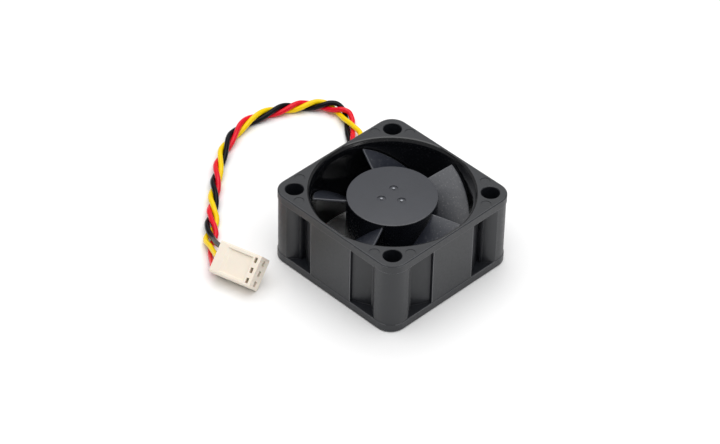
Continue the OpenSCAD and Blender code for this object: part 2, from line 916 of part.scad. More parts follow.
module impeller() {
    color(grey_plastic)
        difference() {
            union() {
                hub();
                for (i = [0 : blade_count - 1])
                    rotate([0, 0, blade_start + 360 * i / blade_count])
                        blade();
            }
            gate_marks();
        }
}

// Steel cup pressed into the hub
module rotor_yoke() {
    hole = shaft_r + bush_wall;
    color(dark_steel)
        rotate_extrude($fn = fn_large)
            polygon([
                [magnet_r, yoke_z], [yoke_r, yoke_z], [yoke_r, yoke_top],
                [hole, yoke_top], [hole, yoke_top - yoke_t], [magnet_r, yoke_top - yoke_t]
            ]);
}

module rotor_magnet() {
    color(dark_steel)
        ring(magnet_r, magnet_in_r, magnet_z, magnet_z + magnet_h, fn_large);
}

// Shaft with a groove for the retaining ring
module shaft() {
    groove_low = lower_bearing_z - clip_t;
    groove_r = shaft_r - clip_groove;
    color(bright_steel)
        rotate_extrude($fn = fn_middle)
            polygon([
                [0, shaft_z], [shaft_r, shaft_z], [shaft_r, groove_low], [groove_r, groove_low],
                [groove_r, lower_bearing_z], [shaft_r, lower_bearing_z],
                [shaft_r, yoke_top], [0, yoke_top]
            ]);
}

// Bush that joins the shaft to the yoke
module shaft_bush() {
    r = shaft_r + bush_wall;
    shoulder_top = yoke_top - yoke_t;
    color(brass)
        rotate_extrude($fn = fn_middle)
            polygon([
                [shaft_r, bush_z], [r, bush_z], [r, shoulder_top - bush_shoulder],
                [r + bush_step, shoulder_top - bush_shoulder], [r + bush_step, shoulder_top],
                [r, shoulder_top], [r, yoke_top], [shaft_r, yoke_top]
            ]);
}

// Split ring in the groove of the shaft
module retaining_ring() {
    color(dark_steel)
        difference() {
            ring(shaft_r + clip_w, shaft_r - clip_groove, lower_bearing_z - clip_t, lower_bearing_z, fn_small);
            translate([0, -clip_slot / 2, lower_bearing_z - clip_t - over])
                cube([shaft_r + clip_w + over, clip_slot, clip_t + 2 * over]);
        }
}

// Closed tube of radius r swept along a list of points
module sweep(path, r) {
    n = sweep_sides;
    last = len(path) - 1;
    function unit(v) = v / norm(v);
    function along(k) = unit(path[min(k + 1, last)] - path[max(k - 1, 0)]);
    function ring_at(k) =
        let (t = along(k), s = unit(cross(t, [0, 0, 1])), u = cross(s, t))
            [for (i = [0 : n - 1]) let (a = 360 * (i + 0.5) / n) path[k] + r * (cos(a) * s + sin(a) * u)];
    points = [for (k = [0 : last]) each ring_at(k)];
    sides = [for (k = [0 : last - 1], i = [0 : n - 1])
        let (j = (i + 1) % n) each
            [[k * n + i, k * n + j, (k + 1) * n + j], [k * n + i, (k + 1) * n + j, (k + 1) * n + i]]];
    caps = [[for (i = [n - 1 : -1 : 0]) i], [for (i = [0 : n - 1]) last * n + i]];
    polyhedron(points = points, faces = concat(sides, caps), convexity = 6);
}

// Coil spring between the upper bearing's inner ring and the bush
module preload_spring() {
    count = ceil(spring_turns * spring_steps);
    r = spring_wire_d / 2;
    low = upper_bearing_z + bearing_w + r + spring_play;
    rise = spring_h - 2 * r - 2 * spring_play;
    path = [for (i = [0 : count])
        [
            spring_r * cos(360 * i / spring_steps), spring_r * sin(360 * i / spring_steps),
            low + rise * i / count
        ]];
    color(bright_steel)
        sweep(path, r);
}

// Point in the connector's own axes, moved to its place
function turned(p) =
    let (
        y = p[1] * cos(housing_tilt) - p[2] * sin(housing_tilt),
        z = p[1] * sin(housing_tilt) + p[2] * cos(housing_tilt)
    )
    housing_at + [
        p[0] * cos(housing_turn) - y * sin(housing_turn),
        p[0] * sin(housing_turn) + y * cos(housing_turn), z];

// Point in the frame's channel: distance from the axis and sideways place
function in_channel(r, side) = [
    r * cos(lead_angle) - side * sin(lead_angle), r * sin(lead_angle) + side * cos(lead_angle), wire_z];

// Middle line of one wire: pad, channel, lead and contact
function wire_path(channel, place, contact) =
    let (
        last = len(lead_route) - 1,
        middle = [for (k = [0 : last])
            let (
                t = lead_route[min(k + 1, last)] - lead_route[max(k - 1, 0)],
                s = cross(t, [0, 0, 1]) / norm(cross(t, [0, 0, 1]))
            )
            lead_route[k] + place[0] * s + [0, 0, place[1]]],
        y = housing_side + contact * contact_pitch,
        z = housing_t / 2
    )
    concat(
        [in_channel(pad_r, across(channel)), in_channel(duct_r / 2 + base_r / 2, across(channel)),
            in_channel(exit_r, across(channel))],
        middle,
        [turned([-barrel_l, y, z]), turned([barrel_x + barrel_l, y, z])]
    );

module wire_red() {
    color("crimson")
        sweep(wire_path(-1, red_place, 0), wire_r);
}

module wire_black() {
    color([0.10, 0.10, 0.12])
        sweep(wire_path(0, black_place, 2), wire_r);
}

module wire_yellow() {
    color("gold")
        sweep(wire_path(1, yellow_place, 1), wire_r);
}

// Moves its children from the connector's own axes to its place
module at_connector() {
    translate(housing_at)
        rotate([0, 0, housing_turn])
            rotate([housing_tilt, 0, 0])
                children();
}

// Places its children at each contact, on the middle line of its cavity
module at_contacts() {
    for (i = [0 : contact_count - 1])
        translate([0, housing_side + i * contact_pitch, housing_t / 2])
            children();
}

module connector_housing() {
    c = housing_chamfer;
    color(ivory)
        at_connector()
            difference() {
                rotate([90, 0, 90])
                    linear_extrude(housing_l)
                        polygon([
                            [c, 0], [housing_w - c, 0], [housing_w, c], [housing_w, housing_t - c],
                            [housing_w - c, housing_t], [c, housing_t], [0, housing_t - c], [0, c]
                        ]);
                // Recessed panel with a sloped start, between two side ribs
                translate([0, housing_w - rib_w, 0])
                    rotate([90, 0, 0])
                        linear_extrude(housing_w - 2 * rib_w)
                            polygon([
                                [panel_start - panel_ramp * over / panel_depth, housing_t + over],
                                [panel_start + panel_ramp, housing_t - panel_depth],
                                [housing_l - panel_end, housing_t - panel_depth],
                                [housing_l - panel_end, housing_t + over]
                            ]);
                at_contacts() {
                    translate([-over, -cavity_w / 2, -cavity_h / 2])
                        cube([housing_l - mating_wall + over, cavity_w, cavity_h]);
                    translate([0, -mating_w / 2, -mating_w / 2])
                        cube([housing_l + over, mating_w, mating_w]);
                    translate([housing_l - window_back - window_l / 2, -window_w / 2, 0])
                        cube([window_l, window_w, housing_t]);
                }
            }
}

// Crimp contact: a box that takes the pin, a strip and a barrel round the wire
module crimp_contact() {
    w = cavity_w - 2 * fit;
    h = cavity_h - 2 * fit;
    end = housing_l - mating_wall - fit;
    difference() {
        translate([end - terminal_l, -w / 2, -h / 2])
            cube([terminal_l, w, h]);
        translate([end - terminal_l - over, -w / 2 + terminal_t, -h / 2 + terminal_t])
            cube([terminal_l + 2 * over, w - 2 * terminal_t, h - 2 * terminal_t]);
    }
    translate([barrel_x, -strip_w / 2, -h / 2])
        cube([end - terminal_l - barrel_x + terminal_t, strip_w, terminal_t]);
    difference() {
        union() {
            translate([barrel_x, 0, 0])
                rotate([0, 90, 0])
                    cylinder(r = wire_r + barrel_play + barrel_wall, h = barrel_l, $fn = fn_small);
            translate([barrel_x, -strip_w / 2, -h / 2])
                cube([barrel_l, strip_w, h / 2]);
        }
        translate([barrel_x - over, 0, 0])
            rotate([0, 90, 0])
                cylinder(r = wire_r + barrel_play, h = barrel_l + 2 * over, $fn = fn_small);
    }
}

module crimp_terminals() {
    color(brass)
        at_connector()
            at_contacts()
                crimp_contact();
}

frame();
dust_cap();
bearing_tube();
outer_ring(lower_bearing_z);  // lower_outer_ring
shields(lower_bearing_z);  // lower_shields
balls(lower_bearing_z);  // lower_balls
cage(lower_bearing_z);  // lower_cage
inner_ring(lower_bearing_z);  // lower_inner_ring
outer_ring(upper_bearing_z);  // upper_outer_ring
shields(upper_bearing_z);  // upper_shields
balls(upper_bearing_z);  // upper_balls
cage(upper_bearing_z);  // upper_cage
inner_ring(upper_bearing_z);  // upper_inner_ring
stator_core();
lower_insulator();
upper_insulator();
stator_coils();
winding_pins();
circuit_board();
hall_sensor();
driver_chip();
board_components();
solder_joints();
impeller();
rotor_yoke();
rotor_magnet();
shaft();
shaft_bush();
preload_spring();
retaining_ring();
wire_red();
wire_black();
wire_yellow();
connector_housing();
crimp_terminals();
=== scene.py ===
"""Finishes, smooth impeller and twisted lead for a square axial cooling fan.

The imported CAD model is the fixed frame. All sizes are in metres, the origin is the middle of the
outlet face, and +Z points out of the inlet.
"""

import math

import bpy
from bpy.props import FloatProperty, FloatVectorProperty, IntProperty, PointerProperty
from mathutils import Matrix, Vector


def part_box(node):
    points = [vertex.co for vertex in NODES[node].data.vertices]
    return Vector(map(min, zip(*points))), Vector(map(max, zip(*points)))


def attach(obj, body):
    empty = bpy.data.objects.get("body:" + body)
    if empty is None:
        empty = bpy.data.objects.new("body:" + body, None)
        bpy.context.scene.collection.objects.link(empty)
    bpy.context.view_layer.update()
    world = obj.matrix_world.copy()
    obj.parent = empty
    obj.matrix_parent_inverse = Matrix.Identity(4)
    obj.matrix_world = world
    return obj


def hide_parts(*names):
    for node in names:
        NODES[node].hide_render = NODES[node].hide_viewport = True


bl_info = {
    "name": "Cooling Fan Finish",
    "version": (1, 0, 0),
    "blender": (4, 5, 0),
    "location": "View3D > Sidebar > Cooling Fan",
    "description": "Builds the finishes, impeller and twisted lead of an axial cooling fan",
    "category": "Object",
}

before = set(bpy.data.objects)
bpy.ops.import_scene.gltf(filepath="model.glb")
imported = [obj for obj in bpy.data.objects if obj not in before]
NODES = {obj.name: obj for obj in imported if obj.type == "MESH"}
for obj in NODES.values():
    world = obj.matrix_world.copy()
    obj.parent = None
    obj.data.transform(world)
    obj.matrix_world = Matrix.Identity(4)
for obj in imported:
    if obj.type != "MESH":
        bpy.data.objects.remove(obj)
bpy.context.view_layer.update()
MM = 0.001

# Camera: where it looks, the direction and distance it stands at, its roll, its lens and its sensor
VIEW_TARGET = Vector((-5.982, -4.359, 9.279)) * MM
VIEW_AZIMUTH = math.radians(44.576)
VIEW_ELEVATION = math.radians(40.843)
VIEW_ROLL = math.radians(1.324)
VIEW_DISTANCE = 745 * MM
VIEW_LENS = 159.7
VIEW_SENSOR = 36

# Lamps, in metres: the diameter and the place of each
KEY_LAMP = (1.8, (0.0, 0.0, 1.2))
BACK_LAMP = (0.8, (-0.58, 0.59, 0.72))
SIDE_LAMP = (0.5, (0.9, 0.05, 0.4))

# The floor lies this far below the outlet face, and reflects this much
FLOOR_DROP = 0.05 * MM
FLOOR_COLOUR = (0.96, 0.96, 0.96, 1)

# Direction of the strut that carries the wires, the height of the wires in its channel, the
# distances from the axis at which they are drawn there, and where the lead's middle line starts
LEAD_ANGLE = math.radians(152)
CHANNEL_Z = 1.0 * MM
CHANNEL_RADII = (7.4 * MM, 11 * MM, 14.7 * MM, 18.1 * MM, 20.9 * MM)
MIDDLE_START = 21.5 * MM

# Route of the lead outside the frame, along the middle of the three wires, as in part.scad
LEAD_ROUTE = [
    (-24, 12.7), (-28, 15), (-32, 18), (-36, 22), (-39.7, 26),
    (-43.5, 28.8), (-47.5, 28.6), (-51, 25.8), (-53.8, 22), (-56, 17.8),
    (-57.6, 13), (-58.1, 8), (-56.8, 2.6), (-54.4, -2.6), (-51.3, -7.2),
    (-47.6, -11.6), (-43.7, -16), (-39.7, -20.2), (-35.6, -24), (-31.6, -27.6),
]

# The wires are twisted evenly between these distances along the lead, in millimetres, and how far
# they have turned, in turns, at some of them
TWISTED = (44, 89)
TWIST = [
    (25.5, 0.248), (38.5, 1.053), (52.1, 2.044), (63.9, 2.660), (81.5, 3.594), (103.1, 4.905),
]

# Each wire, in millimetres: its place in the channel, its share of a turn behind the yellow one, the
# gloss of its sleeve, its way from the channel to the twist and from the twist to the plug, and its
# contact there
WIRES = {
    "red": {
        "channel": -1, "behind": 1 / 3, "gloss": 0.24,
        "out": [
            (-20.87, 12.76, 0.80), (-22.56, 13.87, 0.68), (-24.24, 14.99, 0.68), (-25.50, 15.85, 0.68),
            (-27.19, 16.98, 0.68), (-28.91, 18.11, 0.68), (-30.66, 19.23, 0.70), (-32.44, 20.31, 0.92),
            (-34.09, 21.26, 1.55), (-35.20, 22.09, 1.77), (-36.55, 23.48, 1.50), (-37.95, 24.89, 1.04),
            (-39.14, 26.03, 0.87), (-40.32, 27.11, 1.11), (-41.30, 27.85, 1.51), (-42.94, 28.41, 2.26),
            (-44.85, 27.79, 2.44), (-46.55, 26.83, 1.80), (-48.34, 26.51, 1.22), (-50.13, 26.23, 0.89),
            (-51.49, 25.66, 0.94), (-53.04, 24.50, 1.37),
        ],
        "into": [
            (-41.81, -18.49, 0.74), (-40.77, -20.13, 1.11), (-39.37, -21.56, 1.75),
            (-37.70, -22.65, 2.02), (-36.19, -23.53, 2.00), (-34.49, -24.32, 1.84),
            (-32.83, -25.40, 1.15), (-31.81, -27.09, 0.75), (-30.84, -28.77, 0.68),
            (-29.60, -30.16, 0.71), (-28.18, -31.35, 0.95), (-26.67, -32.51, 1.43),
            (-25.06, -33.74, 2.07),
        ],
        "contact": (-22.824, -34.957, 2.855),
    },
    "black": {
        "channel": 0, "behind": 2 / 3, "gloss": 0.14,
        "out": [
            (-21.55, 11.49, 0.79), (-23.33, 12.48, 0.68), (-25.10, 13.47, 0.68), (-26.79, 14.43, 0.68),
            (-28.05, 15.17, 0.68), (-29.77, 16.18, 0.68), (-31.43, 17.31, 0.68), (-32.92, 18.65, 0.68),
            (-34.29, 20.11, 0.68), (-35.67, 21.56, 0.68), (-37.27, 22.76, 0.68), (-38.49, 23.63, 0.68),
            (-40.04, 24.89, 0.68), (-41.53, 26.22, 0.68), (-42.97, 27.47, 0.74), (-44.25, 28.33, 1.13),
            (-45.55, 28.76, 1.76), (-47.17, 28.44, 2.49), (-48.54, 27.30, 2.60), (-49.38, 26.11, 2.27),
            (-50.69, 24.76, 1.47), (-52.25, 23.63, 0.78),
        ],
        "into": [
            (-41.08, -17.68, 1.55), (-39.88, -19.12, 0.97), (-38.83, -20.80, 0.68),
            (-38.31, -22.52, 0.73), (-37.22, -24.18, 1.16), (-35.61, -25.60, 1.70),
            (-33.91, -26.66, 2.00), (-32.30, -27.35, 2.17), (-30.78, -28.06, 2.62),
            (-29.30, -28.92, 3.32), (-27.72, -29.81, 4.19), (-25.91, -30.64, 5.21),
        ],
        "contact": (-23.816, -31.253, 6.187),
    },
    "yellow": {
        "channel": 1, "behind": 0, "gloss": 0.24,
        "out": [
            (-22.35, 10.24, 1.12), (-24.26, 11.35, 1.17), (-25.94, 12.66, 1.49), (-27.31, 14.00, 1.80),
            (-28.31, 15.06, 1.95), (-29.64, 16.63, 1.98), (-30.77, 18.22, 2.01), (-31.72, 19.75, 2.11),
            (-32.66, 21.28, 2.23), (-33.77, 22.95, 2.14), (-34.91, 24.50, 2.12), (-36.17, 25.15, 2.20),
            (-38.21, 25.44, 2.24), (-40.17, 25.81, 2.10), (-42.07, 26.12, 1.89), (-43.99, 26.78, 1.37),
            (-45.81, 27.52, 0.84), (-47.37, 27.82, 0.91), (-49.07, 27.70, 1.38), (-50.28, 27.06, 1.88),
            (-51.45, 25.61, 2.26), (-52.20, 23.83, 2.16),
        ],
        "into": [
            (-42.11, -18.46, 2.04), (-40.45, -19.43, 2.17), (-38.72, -20.42, 1.96),
            (-37.04, -21.32, 1.38), (-35.72, -22.70, 0.78), (-35.04, -24.54, 0.68),
            (-34.42, -26.42, 0.68), (-33.65, -27.87, 0.80), (-32.49, -28.88, 1.18),
            (-31.06, -29.64, 1.79), (-29.38, -30.34, 2.47), (-27.49, -31.28, 3.09),
            (-25.47, -32.31, 3.81),
        ],
        "contact": (-23.320, -33.105, 4.52),
    },
}

# The plug's turn, the places along a contact that its wire runs through, and the least gap between
# a twisted wire and the floor
PLUG_TURN = math.radians(15)
CONTACT_STEPS = (-0.3 * MM, 1.5 * MM, 2.9 * MM)
FLOOR_GAP = 0.03 * MM

# Gate marks on the hub: how many, their distance from the axis, the first one's direction, and the
# radius and depth of each recess, and of the nib in its middle
GATES = 3
GATE_DISTANCE = 2.7 * MM
GATE_START = math.radians(8)
GATE_RECESS = (1.0 * MM, 0.36 * MM)
GATE_NIB = (0.3 * MM, 1.2 * MM)

# Hub: how many faces go round it and round its edge, and the rounding of its lower edge
HUB_STEPS = 128
HUB_EDGE_STEPS = 6
HUB_LOW_EDGE = 0.12 * MM

# Blade: faces along and across it, how far its root lies inside the hub, how much lower its leading
# edge is at the root, how much higher its trailing edge is at the tip, and how far the tip is swept
BLADE_FACES = (48, 20)
BLADE_ROOT = 0.4 * MM
BLADE_ROOT_DROP = 0.7 * MM
BLADE_TIP_LIFT = 0.3 * MM
BLADE_SWEEP = math.radians(2)

# Blade's section: the straight share of its camber, where it is thickest, its thickness at either
# end as a share of the greatest, and the rounding of its edges
BLADE_STRAIGHT = 0.72
BLADE_THICKEST = 0.3
BLADE_ENDS = 0.4
BLADE_EDGE = 0.12 * MM

# Shades on moulded plastic: pale dust specks, painted highlights on outer edges, gate scars painted
# lighter, partly as a painted highlight, and painted shade, nearly black, on walls that lie in shade,
# which are also made smoother
SPECK_COLOUR = (0.14, 0.14, 0.145, 1)
EDGE_HIGHLIGHT_COLOUR = (0.26, 0.265, 0.28, 1)
GATE_SCAR_AND_HIGHLIGHT_COLOUR = (0.30, 0.31, 0.34, 1)
PAINTED_SHADE_COLOUR = (0.001, 0.001, 0.0012, 1)
EDGE_HIGHLIGHT_REACH = 0.2 * MM
GATE_SCAR_AND_HIGHLIGHT_REACH = 0.3 * MM


class LeadSizes(bpy.types.PropertyGroup):
    """Sizes of the three-wire lead."""

    wire: FloatProperty(
        name="Wire", description="Outside diameter of one wire", default=1.3 * MM, unit="LENGTH"
    )
    pitch: FloatProperty(
        name="Channel pitch", description="Distance between wires in the channel",
        default=1.4 * MM, unit="LENGTH"
    )
    twist_radius: FloatProperty(
        name="Twist radius", description="Distance of each wire from the middle of the lead",
        default=0.78 * MM, unit="LENGTH"
    )
    rest_height: FloatProperty(
        name="Rest height", description="Height of the middle of the lead above the floor",
        default=1.45 * MM, unit="LENGTH"
    )


class ImpellerSizes(bpy.types.PropertyGroup):
    """Sizes of the hub and its blades."""

    hub: FloatProperty(
        name="Hub", description="Diameter of the hub", default=21.3 * MM, unit="LENGTH"
    )
    wall: FloatProperty(
        name="Hub wall", description="Wall of the hub", default=0.85 * MM, unit="LENGTH"
    )
    top: FloatProperty(
        name="Hub top", description="Thickness of the hub's top", default=1.3 * MM, unit="LENGTH"
    )
    edge: FloatProperty(
        name="Hub edge", description="Rounding of the hub's top edge",
        default=0.2 * MM, unit="LENGTH"
    )
    tip: FloatProperty(
        name="Blade tip", description="Radius of the blade tips", default=18.3 * MM, unit="LENGTH"
    )
    thickness: FloatProperty(
        name="Blade", description="Thickness of a blade", default=1.1 * MM, unit="LENGTH"
    )
    drop: FloatProperty(
        name="Leading edge", description="Depth of the leading edges' tips below the hub's top",
        default=0.25 * MM, unit="LENGTH"
    )
    low: FloatProperty(
        name="Trailing edge", description="Height of the trailing edges",
        default=4.8 * MM, unit="LENGTH"
    )
    arc: FloatProperty(
        name="Arc", description="Arc that a blade covers", default=math.radians(58), subtype="ANGLE"
    )
    start: FloatProperty(
        name="Start", description="Direction of the first leading edge",
        default=math.radians(15.5), subtype="ANGLE"
    )
    blades: IntProperty(name="Blades", description="Number of blades", default=5, min=2, max=11)


class FinishColours(bpy.types.PropertyGroup):
    """Colours of the finishes."""

    housing: FloatVectorProperty(
        name="Housing", description="Moulded frame", subtype="COLOR", size=3,
        default=(0.009, 0.0105, 0.0140)
    )
    impeller: FloatVectorProperty(
        name="Impeller", description="Moulded impeller", subtype="COLOR", size=3,
        default=(0.013, 0.0155, 0.024)
    )
    plug: FloatVectorProperty(
        name="Plug", description="Nylon of the plug", subtype="COLOR", size=3,
        default=(0.91, 0.82, 0.70)
    )
    red: FloatVectorProperty(
        name="Red wire", description="Sleeve of the red wire", subtype="COLOR", size=3,
        default=(0.80, 0.006, 0.022)
    )
    black: FloatVectorProperty(
        name="Black wire", description="Sleeve of the black wire", subtype="COLOR", size=3,
        default=(0.004, 0.004, 0.006)
    )
    yellow: FloatVectorProperty(
        name="Yellow wire", description="Sleeve of the yellow wire", subtype="COLOR", size=3,
        default=(1.0, 0.66, 0.0)
    )


class StageSizes(bpy.types.PropertyGroup):
    """Floor and lamps."""

    floor: FloatProperty(
        name="Floor", description="Side of the floor", default=4.0, unit="LENGTH"
    )
    key: FloatProperty(
        name="Key lamp", description="Power of the lamp overhead, in watts", default=17, min=0
    )
    back: FloatProperty(
        name="Back lamp", description="Power of the lamp behind, in watts", default=1.0, min=0
    )
    side: FloatProperty(
        name="Side lamp", description="Power of the lamp beside, in watts", default=1.0, min=0
    )
    sky: FloatProperty(
        name="Sky", description="Strength of the light all round", default=0.32, min=0
    )


class Link:
    """One output of a material's nodes, with operators that add Math nodes."""

    def __init__(self, finish, socket):
        self.finish = finish
        self.socket = socket

    def math(self, operation, first, second=0.0, clamp=False):
        settings = {"operation": operation, "use_clamp": clamp}
        return self.finish.node("ShaderNodeMath", settings, {0: first, 1: second})

    def __add__(self, other):
        return self.math("ADD", self, other)

    def __radd__(self, other):
        return self.math("ADD", other, self)

    def __sub__(self, other):
        return self.math("SUBTRACT", self, other)

    def __rsub__(self, other):
        return self.math("SUBTRACT", other, self)

    def __mul__(self, other):
        return self.math("MULTIPLY", self, other)

    def __gt__(self, other):
        return self.math("GREATER_THAN", self, other)

    def __lt__(self, other):
        return self.math("LESS_THAN", self, other)

    def sine(self):
        return self.math("SINE", self)

    def absolute(self):
        return self.math("ABSOLUTE", self)

    def clamped(self):
        return self.math("ADD", self, 0.0, clamp=True)

    def larger(self, other):
        return self.math("MAXIMUM", self, other)


class Finish:
    """A node material while it is being made."""

    def __init__(self, name):
        self.material = bpy.data.materials.new(name)
        self.material.use_nodes = True
        self.tree = self.material.node_tree
        self.tree.nodes.clear()

    def node(self, kind, settings=None, inputs=None, output=0):
        """Adds any node, and returns one of its outputs."""
        made = self.tree.nodes.new(kind)
        for key, value in (settings or {}).items():
            setattr(made, key, value)
        for key, value in (inputs or {}).items():
            if isinstance(value, Link):
                self.tree.links.new(value.socket, made.inputs[key])
            else:
                made.inputs[key].default_value = value
        return Link(self, made.outputs[output])

    def place(self):
        """Object coordinates, in metres."""
        return self.node("ShaderNodeTexCoord", output=3)

    def parts(self, vector):
        """X, Y and Z of a vector."""
        split = self.node("ShaderNodeSeparateXYZ", None, {0: vector})
        outputs = split.socket.node.outputs
        return [Link(self, outputs[i]) for i in range(3)]

    def noise(self, vector, scale, detail=2.0, rough=0.5):
        inputs = {"Vector": vector, "Scale": scale, "Detail": detail, "Roughness": rough}
        return self.node("ShaderNodeTexNoise", None, inputs)

    def stretched(self, vector, factors):
        settings = {"operation": "MULTIPLY"}
        return self.node("ShaderNodeVectorMath", settings, {0: vector, 1: factors})

    def radius(self, vector):
        """Distance from the shaft's axis."""
        flat = self.stretched(vector, (1, 1, 0))
        return self.node("ShaderNodeVectorMath", {"operation": "LENGTH"}, {0: flat}, output=1)

    def mix(self, factor, first, second):
        """Blend of two colours, which are the Mix node's inputs 6 and 7."""
        inputs = {0: factor, 6: first, 7: second}
        return self.node("ShaderNodeMix", {"data_type": "RGBA"}, inputs, output=2)

    def rounded(self, radius):
        """Normal that rounds the edges a little."""
        return self.node("ShaderNodeBevel", {"samples": 6}, {"Radius": radius})

    def outer_edges(self, reach):
        """1 on edges that stick out, falling to 0 at this distance from them."""
        settings = {"samples": 8, "inside": True, "only_local": True}
        shut = self.node("ShaderNodeAmbientOcclusion", settings, {"Distance": reach}, output=1)
        return ((1 - shut) * 2).clamped()

    def near(self, vector, centre, reach):
        """1 within this distance of a point."""
        settings = {"operation": "DISTANCE"}
        inputs = {0: vector, 1: centre}
        return self.node("ShaderNodeVectorMath", settings, inputs, output=1) < reach

    def bump(self, height, strength, depth, normal=None):
        inputs = {"Strength": strength, "Distance": depth, "Height": height}
        if normal is not None:
            inputs["Normal"] = normal
        return self.node("ShaderNodeBump", None, inputs)

    def close(self, **sockets):
        """Ends the material in a Principled shader with these socket values."""
        inputs = {key.replace("_", " "): value for key, value in sockets.items()}
        shader = self.node("ShaderNodeBsdfPrincipled", None, inputs)
        return self.end(shader)

    def end(self, shader):
        """Ends the material in this shader and returns the material."""
        out = self.tree.nodes.new("ShaderNodeOutputMaterial")
        self.tree.links.new(shader.socket, out.inputs[0])
        return self.material


def rgba(colour, gain=1.0):
    """The colour made lighter or darker, with alpha."""
    return tuple(min(1.0, c * gain) for c in colour) + (1.0,)


def moulded(
    name, colour, roughness=0.42, grain=0.12, edge=0.12 * MM, gloss=0.62, highlight_beyond=19.4 * MM,
    dusty=(15 * MM, 19.75 * MM), dark=(15 * MM, 19.75 * MM), sheen=0.3, scars=()
):
    """Moulded plastic with grain, flow shades, dust specks, painted shade and painted highlights.

    The specks lie between the radii in dusty. Between the radii in dark the wall gets painted shade,
    nearly black, and is smoother by sheen. Outer edges get a painted highlight, lighter, where X or Y
    lies beyond the given distance. The scars are gate marks painted lighter: partly the torn gate's
    pale scar, partly a painted highlight on its nib.
    """
    made = Finish(name)
    place = made.place()
    cloud = made.noise(place, scale=140, detail=3)
    fine = made.noise(place, scale=5200, detail=2)
    coarse = made.noise(place, scale=1500, detail=3, rough=0.6)
    far = made.radius(place)
    inside = (far > dusty[0]) * (far < dusty[1])
    speck = ((made.noise(place, scale=2400, detail=2, rough=0.7) - 0.61) * 12).clamped() * inside
    shade = (cloud * 0.5 + coarse * 0.5).clamped()
    base = made.mix(shade, rgba(colour, gain=0.55), rgba(colour, gain=1.45))
    base = made.mix(speck * 0.6, base, SPECK_COLOUR)
    # Painted shade: between these radii the wall is painted nearly black, where shade falls inside the
    # duct and on the hub's side
    painted_shade_band = (far > dark[0]) * (far < dark[1])
    base = made.mix(painted_shade_band * 0.7, base, PAINTED_SHADE_COLOUR)
    x, y = made.parts(place)[:2]
    # Painted highlight: outer edges beyond this distance from the axis are painted lighter, standing
    # in for edge highlights
    outside = x.absolute().larger(y.absolute()) > highlight_beyond
    edge_highlight = made.outer_edges(EDGE_HIGHLIGHT_REACH) * outside * 0.8
    base = made.mix(edge_highlight, base, EDGE_HIGHLIGHT_COLOUR)
    # Gate marks painted lighter: partly the torn gate's own pale scar, partly a painted highlight on
    # its nib
    if scars:
        scar_and_highlight = made.near(place, scars[0], GATE_SCAR_AND_HIGHLIGHT_REACH)
        for scar in scars[1:]:
            scar_and_highlight = scar_and_highlight + made.near(place, scar, GATE_SCAR_AND_HIGHLIGHT_REACH)
        base = made.mix(scar_and_highlight, base, GATE_SCAR_AND_HIGHLIGHT_COLOUR)
    rough = roughness + (coarse - 0.5) * 0.3 - painted_shade_band * sheen
    height = fine * 0.5 + coarse * 0.5
    normal = made.bump(height, strength=grain, depth=0.06 * MM, normal=made.rounded(edge))
    return made.close(
        Base_Color=base, Roughness=rough.clamped(), Normal=normal, Specular_IOR_Level=gloss
    )


def nylon(name, colour, roughness=0.38):
    """Pale nylon with faint clouds, which lets a little light in."""
    made = Finish(name)
    place = made.place()
    cloud = made.noise(place, scale=260, detail=3)
    fine = made.noise(place, scale=3800, detail=2)
    base = made.mix(cloud, rgba(colour, gain=0.93), rgba(colour, gain=1.06))
    edges = made.rounded(0.14 * MM)
    normal = made.bump(fine, strength=0.05, depth=0.04 * MM, normal=edges)
    return made.close(
        Base_Color=base, Roughness=roughness + (fine - 0.5) * 0.1, Normal=normal,
        Subsurface_Weight=0.08, Subsurface_Scale=0.6 * MM
    )


def sleeve(name, colour, gloss):
    """Glossy vinyl sleeve of a wire, with faint drawing marks."""
    made = Finish(name)
    place = made.place()
    cloud = made.noise(place, scale=420, detail=2)
    fine = made.noise(place, scale=2600, detail=3)
    base = made.mix(cloud, rgba(colour, gain=0.88), rgba(colour, gain=1.08))
    normal = made.bump(fine, strength=0.10, depth=0.05 * MM)
    return made.close(
        Base_Color=base, Roughness=0.22 + (fine - 0.5) * 0.16, Normal=normal,
        Specular_IOR_Level=gloss
    )


def turned(name, colour, roughness, pitch=0.09 * MM):
    """Metal with fine rings round the shaft's axis."""
    made = Finish(name)
    place = made.place()
    rings = (made.radius(place) * (2 * math.pi / pitch)).sine()
    along = (made.parts(place)[2] * (2 * math.pi / pitch)).sine()
    cloud = made.noise(place, scale=700, detail=3)
    base = made.mix(cloud, rgba(colour, gain=0.85), rgba(colour, gain=1.1))
    edges = made.rounded(0.05 * MM)
    normal = made.bump(rings * 0.5 + along * 0.5, strength=0.06, depth=0.02 * MM, normal=edges)
    return made.close(
        Base_Color=base, Metallic=1.0, Roughness=roughness + (cloud - 0.5) * 0.18, Normal=normal
    )


def plain_metal(name, colour, roughness, scale=900):
    """Plated or rolled metal with faint clouds and scratches."""
    made = Finish(name)
    place = made.place()
    cloud = made.noise(place, scale, detail=4, rough=0.6)
    scratch = made.noise(made.stretched(place, (0.15, 1, 1)), scale=4200, detail=2)
    base = made.mix(cloud, rgba(colour, gain=0.84), rgba(colour, gain=1.1))
    edges = made.rounded(0.05 * MM)
    normal = made.bump(scratch, strength=0.05, depth=0.03 * MM, normal=edges)
    return made.close(
        Base_Color=base, Metallic=1.0, Roughness=roughness + (cloud - 0.5) * 0.25, Normal=normal
    )


def polished(name, colour):
    """Polished steel of the balls."""
    made = Finish(name)
    place = made.place()
    cloud = made.noise(place, scale=3000, detail=2)
    base = made.mix(cloud, rgba(colour, gain=0.95), rgba(colour, gain=1.05))
    return made.close(Base_Color=base, Metallic=1.0, Roughness=0.06 + cloud * 0.06)


